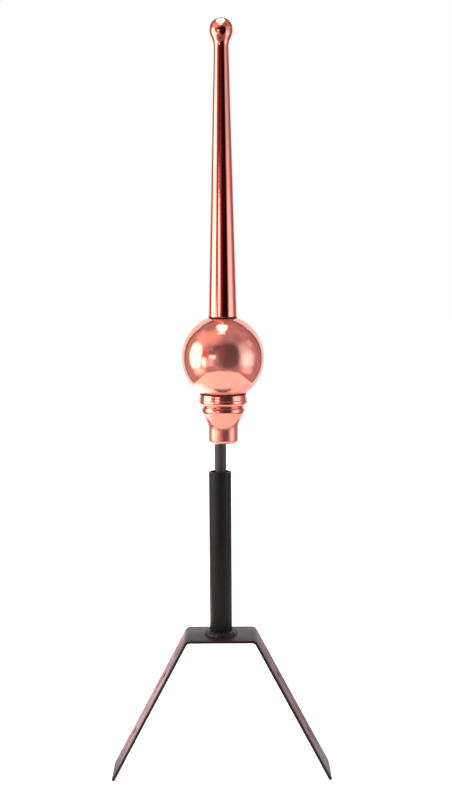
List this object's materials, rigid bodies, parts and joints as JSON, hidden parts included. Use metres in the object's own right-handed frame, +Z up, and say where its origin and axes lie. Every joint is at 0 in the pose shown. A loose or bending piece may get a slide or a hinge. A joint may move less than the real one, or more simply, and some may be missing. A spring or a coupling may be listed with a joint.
{
  "type": "rooftop finial",
  "caption": "Tall copper roof finial: tapered spire with a ball tip on a globe and moulded cup, on a black steel rod, tube and ridge saddle with screw holes in its legs.",
  "frame": {"origin": "on the mast tube's axis, level with the lower ends of the saddle's legs", "axes": "+Z up along the mast, X across the saddle from leg to leg, Y along the roof's ridge, with -Y towards the viewer"},
  "size_m": [0.2652, 0.0976, 0.8986],
  "materials": {
    "polished_copper": "polished copper, mirror bright",
    "black_coated_steel": "satin black powder coat"
  },
  "bodies": {
    "root": {"spire": "polished_copper", "globe": "polished_copper", "base_cup": "polished_copper", "rod": "black_coated_steel", "mast_tube": "black_coated_steel", "weld_bead": "black_coated_steel", "roof_bracket": "black_coated_steel"}
  },
  "joints": []
}
